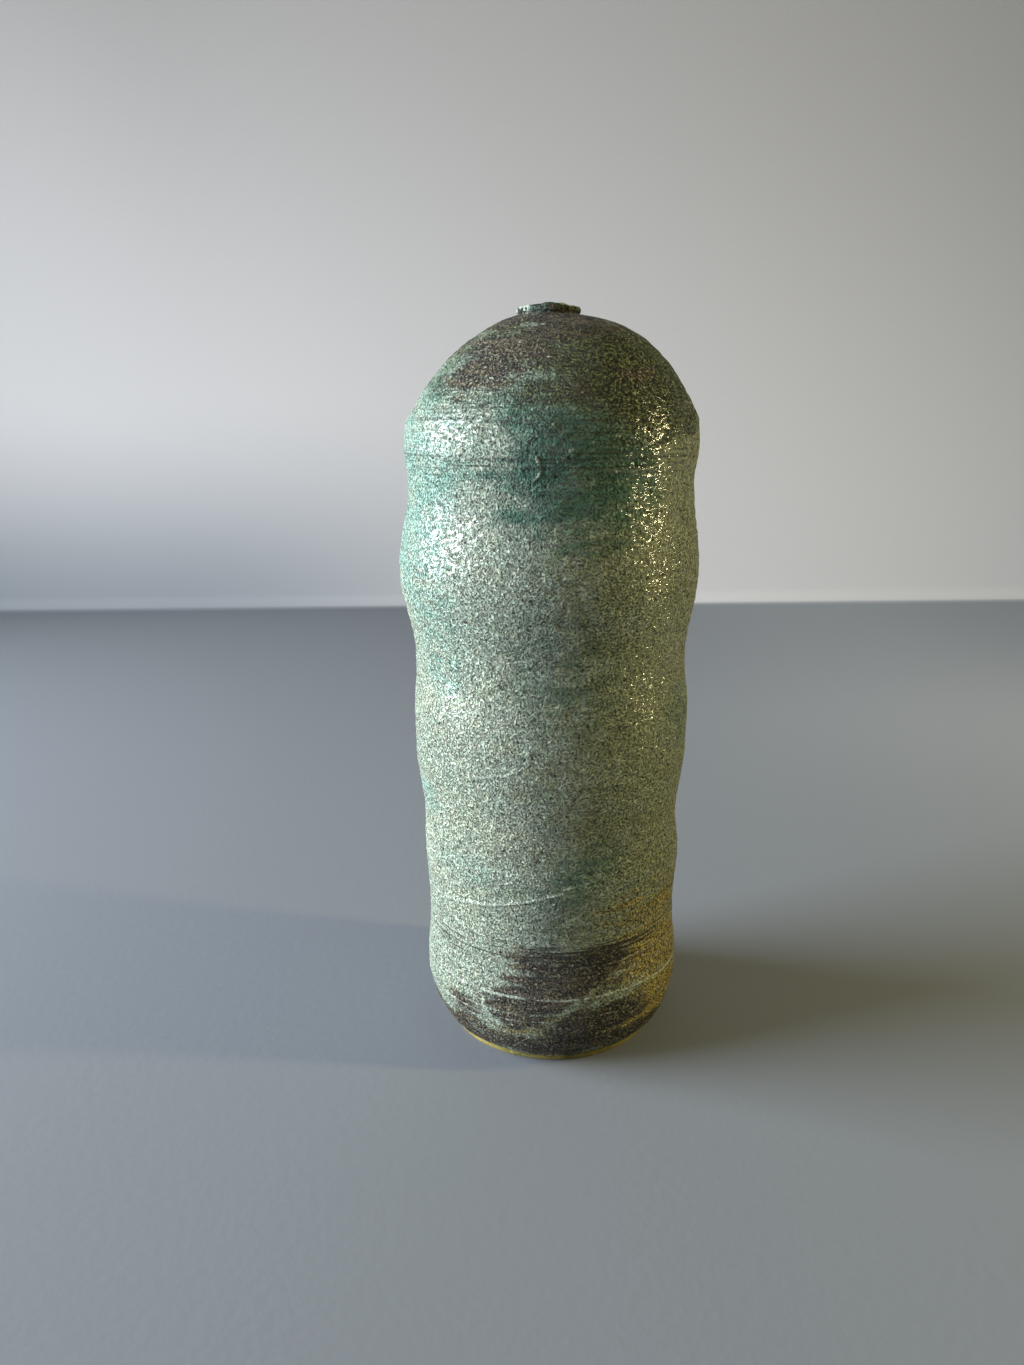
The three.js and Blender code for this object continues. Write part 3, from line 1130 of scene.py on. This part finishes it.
STRANDS = (
    Strand(((-7.2, 240.5), (-6.2, 238.5), (-5.8, 236.5), (-6.2, 234.5), (-8.0, 233.0)), 0.55, 0.7),
    Strand(((-40, 124), (-30, 124), (-20, 126), (-12, 129.5)), 0.5, 0.45, 0.9),
    Strand(((-46, 127), (-36, 127), (-30, 129)), 0.45, 0.35, 0.8),
    Strand(((-3, 103), (6, 104.5)), 0.4, 0.3, 0.6),
    Strand(
        ((-75, 66), (-62, 66.5), (-50, 67.5), (-40, 69.5), (-30, 71), (-20, 73), (-8, 76), (3, 79)),
        0.6,
        0.5,
        1.0,
    ),
    Strand(((-80, 80), (-68, 78.5), (-58, 77)), 0.55, 0.45, 1.0),
    Strand(((-80, 85), (-66, 83), (-56, 82.5)), 0.5, 0.4, 0.9),
    Strand(((-28, 80), (-18, 82.5)), 0.5, 0.5, 1.0),
    Strand(((3, 80.5), (9, 81.5), (15, 83)), 0.5, 0.45, 0.9),
    Strand(((-80, 33.5), (-50, 33.5), (-19, 33.5), (4, 33), (22, 33.5)), 0.55, 0.45, 0.95, 0.7),
    Strand(((18, 33.3), (40, 33.5), (57, 32.5), (75, 32)), 0.55, 0.45, 1.0, 0.8),
    Strand(((-80, 23.5), (-40, 23.5), (-25, 23), (0, 23.5)), 0.45, 0.3, 0.6, 0.6),
    Strand(((-60, 20.5), (-40, 20.5), (-12, 20.5)), 0.4, 0.25, 0.5, 0.5),
    Strand(((-44, 26.5), (-20, 26.2), (-4, 26.5)), 0.4, 0.25, 0.5, 0.5),
    Strand(((-30, 38.5), (-5, 38.2), (18, 38.6)), 0.35, 0.2, 0.3, 0.4),
    Strand(((-24, 43.5), (2, 43.2), (24, 43.8)), 0.35, 0.2, 0.3, 0.4),
    Strand(((8, 45.8), (30, 46.2), (60, 46)), 0.35, 0.3, 0.5, 0.4),
    Strand(((20, 50.2), (44, 50.4), (72, 50)), 0.35, 0.3, 0.5),
    Strand(((26, 53.4), (50, 53.2), (70, 53.6)), 0.35, 0.3, 0.45),
    Strand(((-12, 17.5), (-3, 23.5), (6.5, 29.5), (15.5, 35.5), (26, 41), (32, 45.5)), 1.7, 0.1, 0.12, 0.9),
    Strand(((-50, 48), (-46, 42.5), (-35.5, 33.5), (-31.5, 25), (-30, 17.5)), 1.6, 0.1, 0.12, 0.9),
    Strand(((-42, 229), (-30, 230), (-22, 229)), 0.4, 0.25, 0.5),
)

DENTS = (
    Dent(62, 252, 1.1, 0.9, None),
    Dent(-10.5, 135.5, 1.0, 0.8, Mark.STRAND),
)


@dataclass
class CrustedFace:
    """The coat's outer face as it is worked: relief in millimetres, and the marks its finish reads."""

    grid: TurnedGrid
    swells: tuple[Lattice, ...] = (
        Lattice(3, 0.16, 7.0),
        Lattice(4, 0.16, (3.0, 3.0, 2.1)),
        Lattice(5, 0.05, (2.0, 2.0, 1.5)),
    )
    bloom_warp: tuple[Lattice, ...] = (
        Lattice(41, 0.3, (17.0, 17.0, 6.5)),
        Lattice(42, 0.18, (8.0, 8.0, 2.2)),
    )
    line_drift: tuple[Lattice, ...] = (
        Lattice(11, 1.1, (40.0, 40.0, 18.0)),
        Lattice(12, 0.35, (9.0, 9.0, 5.0)),
    )
    line_gaps: Lattice = Lattice(13, 1.0, (26.0, 26.0, 1.6))
    line_seed: int = 20
    band_fade: float = 2.0
    arc_fade: float = 12.0
    thread_breaks: Lattice = Lattice(61, 0.5, 2.2)
    dent_seed: int = 77
    dent_count: int = 420
    dent_heights: tuple[float, float] = (8.0, 285.0)
    dent_radii: tuple[float, float] = (0.3, 0.6)
    dent_depth: float = 0.4
    lip_lumps: Lattice = Lattice(31, 1.0, 1.5)
    lip_swells: Lattice = Lattice(32, 0.12, 3.0)
    lump_height: float = 0.2
    places: np.ndarray = field(init=False)
    height: np.ndarray = field(init=False)
    marks: dict[Mark, np.ndarray] = field(init=False)

    def __post_init__(self) -> None:
        """Start with the crust's soft swells, and no marks."""
        self.places = self.grid.points()
        self.height = sum(swell.at(self.places) for swell in self.swells)
        self.marks = {bloom: np.zeros(self.grid.shape, np.float32) for bloom in Mark}

    def raise_mark(self, bloom: Mark, values: np.ndarray, rows: np.ndarray, columns: np.ndarray) -> None:
        """Bring a mark up to new values where they are higher.

        Args:
            bloom: The mark.
            values: Its new values.
            rows: Their rows, as a column.
            columns: Their columns.
        """
        mark = self.marks[bloom]
        mark[rows, columns] = np.maximum(mark[rows, columns], values)

    def spread_blooms(self) -> None:
        """Spread the blooms, the smoke and the gloss, with wandering edges."""
        warp = sum(lattice.at(self.places) for lattice in self.bloom_warp)
        rows = np.arange(self.grid.shape[0])[:, None]
        columns = np.arange(self.grid.shape[1])
        for patch in PATCHES:
            off = self.grid.offsets(rows, columns, patch.degrees, patch.height)
            turn = math.radians(patch.tilt)
            across = off[..., 0] * math.cos(turn) + off[..., 1] * math.sin(turn)
            up = off[..., 1] * math.cos(turn) - off[..., 0] * math.sin(turn)
            away = np.hypot(across / patch.half_width, up / patch.half_height) + warp
            share = patch.strength * smooth_step(1 + patch.soft, 1 - patch.soft, away)
            self.marks[patch.bloom] = 1 - (1 - self.marks[patch.bloom]) * (1 - share)

    def cut_lines(self) -> None:
        """Cut the bands of fine throwing lines, broken by gaps, with painted shade in their groove bottoms.
        """
        level = self.grid.outline[:, 1:] + sum(lattice.at(self.places) for lattice in self.line_drift)
        unbroken = smooth_step(-0.7, 0.1, self.line_gaps.at(self.places))
        degrees = np.degrees(self.grid.azimuth)
        for number, band in enumerate(LINE_BANDS):
            bottom = smooth_step(band.low - self.band_fade, band.low + self.band_fade, level)
            inside = bottom * smooth_step(band.high + self.band_fade, band.high - self.band_fade, level)
            if band.half_turn < 180:
                turn = np.abs((degrees - band.degrees + 180) % 360 - 180)
                start, end = band.half_turn + self.arc_fade, band.half_turn - self.arc_fade
                inside = inside * smooth_step(start, end, turn)[None, :]
            column = np.stack([0 * level + number * 7.7, 0 * level + 3.3, level], axis=-1)
            groove = Lattice(self.line_seed + number, 1.0, band.spacing).at(column)
            shown = inside * unbroken
            self.height += band.depth * shown * groove
            lines, pits_and_groove_shade = self.marks[Mark.LINES], self.marks[Mark.PIT]
            self.marks[Mark.LINES] = np.maximum(lines, inside * max(band.dark, band.depth))
            # Painted shade: the pit mark darkens the bottoms of the grooves.
            self.marks[Mark.PIT] = np.maximum(pits_and_groove_shade, 0.5 * band.dark * shown * smooth_step(-0.1, -0.8, groove))

    def lay_threads(self) -> None:
        """Lay the raised threads of glaze, which keep the smoke off."""
        body_radius = self.grid.form.body_radius
        broken = 0.75 + self.thread_breaks.at(self.places)
        for strand in STRANDS:
            for (start_az, start_z), (end_az, end_z) in zip(strand.path, strand.path[1:]):
                middle_az, middle_z = (start_az + end_az) / 2, (start_z + end_z) / 2
                half = np.hypot(np.radians(end_az - start_az) * body_radius, end_z - start_z) / 2
                rows, columns = self.grid.near(middle_az, middle_z, half + 4 * strand.width)
                off = self.grid.offsets(rows, columns, start_az, start_z)
                run = off - self.grid.offsets(rows, columns, end_az, end_z)
                length = np.maximum((run**2).sum(axis=-1), 1e-6)
                share = np.clip((off * run).sum(axis=-1) / length, 0.0, 1.0)
                away = np.linalg.norm(off - run * share[..., None], axis=-1)
                bead = np.exp(-((away / strand.width) ** 2)) * broken[rows, columns]
                self.height[rows, columns] = np.maximum(self.height[rows, columns], strand.rise * bead)
                # The thread's whitening is partly its own paler glaze and partly painted highlight on its
                # raised top.
                self.raise_mark(Mark.STRAND, strand.pale * bead, rows, columns)
                self.marks[Mark.SMOKE][rows, columns] *= 1 - strand.clears * np.minimum(bead, 1.0)

    def sink_dents(self) -> None:
        """Raise the placed nubs and sink pits scattered over the wall."""
        draw = np.random.default_rng(self.dent_seed)
        scattered = []
        for _ in range(self.dent_count):
            degrees, level = draw.uniform(-180, 180), draw.uniform(*self.dent_heights)
            radius = draw.uniform(*self.dent_radii)
            scattered.append(Dent(degrees, level, radius, -self.dent_depth * radius))
        for dent in (*DENTS, *scattered):
            rows, columns = self.grid.near(dent.degrees, dent.height, 2.5 * dent.radius)
            away = np.linalg.norm(self.grid.offsets(rows, columns, dent.degrees, dent.height), axis=-1)
            bowl = np.exp(-((away / dent.radius) ** 2))
            self.height[rows, columns] += dent.rise * bowl
            if dent.mark is not None:
                self.raise_mark(dent.mark, bowl, rows, columns)

    def bead_lip(self) -> None:
        """Make the lip lumpy and colour it: pale beads to the left, dark copper in the middle, with painted
        highlight on bead tops and along the top edge to the right, and painted shade in the hollows and under
        the lip.
        """
        above = self.places[..., 2] - self.grid.form.neck_height
        on_lip = smooth_step(-0.6, 0.6, above)
        lumps = self.lip_lumps.at(self.places)
        self.height += on_lip * (self.lump_height * lumps + self.lip_swells.at(self.places))
        degrees = np.degrees(self.grid.azimuth)[None, :] + 0 * above
        left = smooth_step(-25, -50, degrees)
        middle = smooth_step(-60, -25, degrees) * smooth_step(35, 10, degrees)
        right = smooth_step(8, 25, degrees)
        # The top edge gets a painted highlight to the right; the underside gets painted shadow all round.
        edge = smooth_step(2.2, 2.8, above)
        under = smooth_step(1.3, 0.5, above)
        strengths = {
            # Bead tops to the left are paled, partly pale glaze and partly painted highlight; lump hollows
            # get painted shade.
            Mark.STRAND: np.maximum(left * smooth_step(-0.35, 0.15, lumps), 0.6 * right * edge),
            Mark.PIT: np.maximum(0.9 * smooth_step(-0.05, -0.4, lumps) * (1 - edge * right), 0.5 * under),
            Mark.TEAL: np.maximum(middle, 0.7 * left),
            Mark.SMOKE: 0.4 * middle,
            Mark.MOSS: 0.9 * right,
        }
        for mark, strength in strengths.items():
            self.marks[mark] = np.maximum(self.marks[mark] * (1 - 0.8 * on_lip), on_lip * strength)

    def work(self) -> None:
        """Give the face its blooms, lines, threads, dents and lip, in that order."""
        self.spread_blooms()
        self.cut_lines()
        self.lay_threads()
        self.sink_dents()
        self.bead_lip()


@dataclass
class GlazeSkin:
    """The outside coat of glaze, from its uneven edge above the foot over the lip and into the bore."""

    form: VaseForm
    glaze: CopperGlaze
    columns: int = 600
    row_step: float = 0.5
    lip_step: float = 0.3
    inside_step: float = 6.0
    relief_sink: float = 0.2
    edge_sink: float = 0.15
    edge_taper: float = 1.2
    name: str = "glaze_skin"

    def outline(self, step: float) -> np.ndarray:
        """Outline of the coat's outer face, from its lower edge to the bore.

        Args:
            step: Longest distance between points.

        Returns:
            Radius and height of each point.
        """
        heel = self.form.heel()
        heel = heel[heel[:, 1] > self.form.glaze_start]
        body = np.concatenate([heel[:-1], self.form.wall_outline(), self.form.dome()[1:]])
        lip = resampled(self.form.lip(), min(step, self.lip_step))
        return np.concatenate([resampled(body, step), lip])

    def build(self) -> bpy.types.Object:
        """Build the coat as one closed shell.

        Returns:
            The coat's object, in place and with its finish.
        """
        face = CrustedFace(TurnedGrid(self.form, self.outline(self.row_step), self.columns))
        face.work()
        taper = smooth_step(0.0, self.edge_taper, face.grid.along)[:, None]
        outside = face.grid.points(taper * (face.height - self.relief_sink) - self.edge_sink * (1 - taper))
        inner = TurnedGrid(self.form, self.outline(self.inside_step)[::-1], self.columns)
        rows = np.concatenate([outside, inner.points(self.form.glaze)])
        low, high = (np.array(corner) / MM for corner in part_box("glaze_coat"))
        low[2] = self.form.glaze_start - self.form.edge_wave
        blank = np.zeros(inner.shape)
        marks = {bloom: np.concatenate([values, blank]) for bloom, values in face.marks.items()}
        coat = turned_object(self.name, np.clip(rows, low, high), marks)
        coat.data.materials.append(self.glaze.material())
        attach(coat, ROOT)
        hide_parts("glaze_coat")
        return coat


@dataclass
class FootRing:
    """Turned ring of bare clay that the vase stands on."""

    form: VaseForm
    clay: BareClay
    columns: int = 420
    edge_round: float = 0.6
    face_step: float = 0.6
    under_step: float = 1.2
    grit: Lattice = Lattice(51, 0.12, 1.6)
    name: str = "bare_foot_ring"

    def build(self) -> bpy.types.Object:
        """Build the ring with a gritty, slightly uneven outer face.

        Returns:
            The ring's object, in place and with its finish.
        """
        outer, inner = self.form.foot_radius, self.form.foot_radius - self.form.foot_ring_width
        r, top = self.edge_round, self.form.foot_height
        corner = np.linspace(0, np.pi / 2, 6)
        right = np.stack([outer - r + r * np.sin(corner), r - r * np.cos(corner)], axis=1)
        left = np.stack([inner + r - r * np.cos(corner), r - r * np.sin(corner)], axis=1)
        outline = np.concatenate([right, [[outer, top]], [[inner, top]], left])
        under = resampled(outline[[-1, 0]], self.under_step)[1:-1]
        outline = np.concatenate([resampled(outline, self.face_step), under])
        grid = TurnedGrid(self.form, outline, self.columns)
        side = smooth_step(0.1, 0.8, outline[:, 1])[:, None]
        rough = side * (self.grit.at(grid.points()) - self.grit.strength)
        rough = rough * (outline[:, 1] < top - 0.05)[:, None]
        ring = turned_object(self.name, grid.points(rough))
        ring.data.materials.append(self.clay.material())
        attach(ring, ROOT)
        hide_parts("foot_ring")
        return ring


@dataclass
class PackedPieces:
    """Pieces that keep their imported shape, with the finish that they share."""

    nodes: tuple[str, ...]
    finish: BareClay | PouredLining

    def dress(self) -> None:
        """Give the pieces their finish."""
        material = self.finish.material()
        for name in self.nodes:
            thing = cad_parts[name]
            thing.data.materials.clear()
            thing.data.materials.append(material)


@dataclass(frozen=True)
class SoftLight:
    """A soft light that faces the vase.

    azimuth is its place round the vase in degrees from the front, and elevation its place above the
    vase's middle in degrees. distance and size, its width and height, are in metres, power is in
    watts, and spread is the angle that its beam fills, in degrees.
    """

    name: str
    azimuth: float
    elevation: float
    distance: float
    size: tuple[float, float]
    power: float
    tint: Tint
    spread: float

    def hang(self, aim: Vector) -> None:
        """Hang the light so that it faces a place.

        Args:
            aim: The place.
        """
        lamp = bpy.data.lights.new(self.name, "AREA")
        lamp.shape = "RECTANGLE"
        lamp.size, lamp.size_y = self.size
        lamp.energy = self.power
        lamp.color = self.tint.linear[:3]
        lamp.spread = math.radians(self.spread)
        thing = bpy.data.objects.new(self.name, lamp)
        turn, lift = math.radians(self.azimuth), math.radians(self.elevation)
        away = Vector((math.sin(turn) * math.cos(lift), -math.cos(turn) * math.cos(lift), math.sin(lift)))
        thing.location = aim + self.distance * away
        thing.rotation_euler = away.to_track_quat("Z", "Y").to_euler()
        bpy.context.scene.collection.objects.link(thing)


@dataclass
class Studio:
    """Plain pale floor with a sweep behind it, soft window light from the left and the camera."""

    camera_place: tuple[float, float, float] = (-0.0151, -0.400, 0.2525)
    pitch: float = 14.65
    roll: float = 0.6
    lens: float = 26.37
    sensor: float = 36.0
    nearest: float = 0.01
    floor: Tint = Tint("#70767d")
    # The far floor tint is painted light; the high and low wall tints are painted shade.
    far_floor_painted_light: Tint = Tint("#92979d")
    wall: Tint = Tint("#c4c3c4")
    high_wall_painted_shade: Tint = Tint("#adabab")
    low_wall_painted_shade: Tint = Tint("#878d94")
    wall_start: float = 0.975
    sweep: float = 0.02
    sweep_steps: int = 24
    front_reach: float = 3.0
    side_reach: float = 4.0
    wall_height: float = 3.0
    tooth: Pattern = Pattern(0.004, 3.0)
    vase_middle: tuple[float, float, float] = (0.0, 0.0, 0.15)
    soft_lights: tuple[SoftLight, ...] = (
        SoftLight("window_left", -88, 13, 1.6, (1.1, 1.05), 44.0, Tint("#f0f6ff"), 115),
        SoftLight("window_right", 81, 20, 0.85, (0.045, 0.36), 4.5, Tint("#fde9b0"), 180),
    )
    room: Tint = Tint("#e2dcb0")
    room_strength: float = 0.222

    def paper(self) -> bpy.types.Material:
        """Build the stage's material: a floor and a wall, with painted light on the floor's far right and
        painted shade on the wall, higher up and low to the left.
        """
        nodes = NodeTree("stage_paper")
        parts = nodes.add("ShaderNodeSeparateXYZ", {0: nodes.place}).outputs

        rises = (
            {"X": Ramp(-0.1, 0.5), "Y": Ramp(0.05, 0.5)},
            {"Z": Ramp(0.0, 0.8), "X": Ramp(-0.85, -0.4)},
            {"Z": Ramp(0.3, 0.0), "X": Ramp(0.3, -0.5)},
        )
        shares = [[nodes.rise(parts[axis], ramp) for axis, ramp in pair.items()] for pair in rises]
        # Painted light lifts the floor's far right; painted shade darkens the wall higher up and low to the
        # left.
        painted_far_right_light, high, painted_low_left_shade = (nodes.calc("MULTIPLY", *pair) for pair in shares)
        floor = nodes.blend(painted_far_right_light, self.floor, self.far_floor_painted_light)
        wall = nodes.blend(painted_low_left_shade, nodes.blend(high, self.wall, self.high_wall_painted_shade), self.low_wall_painted_shade)
        colour = nodes.blend(nodes.rise(parts["Z"], Ramp(0.001, 0.005)), floor, wall)
        tooth = nodes.bump(nodes.noise(self.tooth), 0.0003, 0.3)
        return nodes.finish({"Base Color": colour, "Roughness": 0.85, "Normal": tooth})

    def stage(self) -> None:
        """Build the floor and the sweep."""
        turn = np.linspace(0.0, np.pi / 2, self.sweep_steps)
        curve = [(self.wall_start + self.sweep * math.sin(a), self.sweep * (1 - math.cos(a))) for a in turn]
        profile = [(-self.front_reach, 0.0), *curve, (self.wall_start + self.sweep, self.wall_height)]
        places = [(x, y, z) for y, z in profile for x in (-self.side_reach, self.side_reach)]
        faces = [(2 * k, 2 * k + 1, 2 * k + 3, 2 * k + 2) for k in range(len(profile) - 1)]
        mesh = bpy.data.meshes.new("stage_sweep")
        mesh.from_pydata(places, [], faces)
        mesh.polygons.foreach_set("use_smooth", np.ones(len(faces), bool))
        mesh.materials.append(self.paper())
        sweep = bpy.data.objects.new("stage_sweep", mesh)
        bpy.context.scene.collection.objects.link(sweep)

    def lights(self) -> None:
        """Light the vase as a room with one large window does."""
        for light in self.soft_lights:
            light.hang(Vector(self.vase_middle))
        world = bpy.data.worlds.new("room_light")
        world.use_nodes = True
        back = world.node_tree.nodes["Background"]
        back.inputs["Color"].default_value = self.room.linear
        back.inputs["Strength"].default_value = self.room_strength
        bpy.context.scene.world = world

    def camera(self) -> None:
        """Place the camera at the photograph's viewing angle."""
        lens = bpy.data.cameras.new("camera")
        lens.lens = self.lens
        lens.sensor_width = self.sensor
        lens.clip_start = self.nearest
        thing = bpy.data.objects.new("camera", lens)
        tilt = Matrix.Rotation(math.radians(90 - self.pitch), 4, "X")
        roll = Matrix.Rotation(math.radians(-self.roll), 4, "Z")
        thing.matrix_world = Matrix.Translation(self.camera_place) @ tilt @ roll
        bpy.context.scene.collection.objects.link(thing)
        bpy.context.scene.camera = thing

    def build(self) -> None:
        """Build the stage, the lights and the camera."""
        self.stage()
        self.lights()
        self.camera()
        bpy.context.scene.view_settings.view_transform = "Standard"


def main() -> None:
    """Build every piece in order."""
    logging.basicConfig(level=logging.INFO, format="%(message)s")
    form = VaseForm()
    Studio().build()
    log.info("stage, lights and camera are in place")
    skin = GlazeSkin(form, CopperGlaze())
    coat = skin.build()
    log.info("%s: %d faces", coat.name, len(coat.data.polygons))
    foot = FootRing(form, BareClay("bare_clay", Tint("#8c7f45"), Tint("#4d4526"), Tint("#6b6a3a"))).build()
    log.info("%s: %d faces", foot.name, len(foot.data.polygons))
    smoked_clay = BareClay("smoked_clay", Tint("#6b6455"), Tint("#3c382f"), Tint("#7d7660"))
    PackedPieces(("lower_section", "upper_section", "shoulder_dome", "mouth_ring"), smoked_clay).dress()
    log.info("clay sections are dressed")
    PackedPieces(("glaze_lining",), PouredLining()).dress()
    log.info("lining is dressed")


if __name__ == "__main__":
    main()
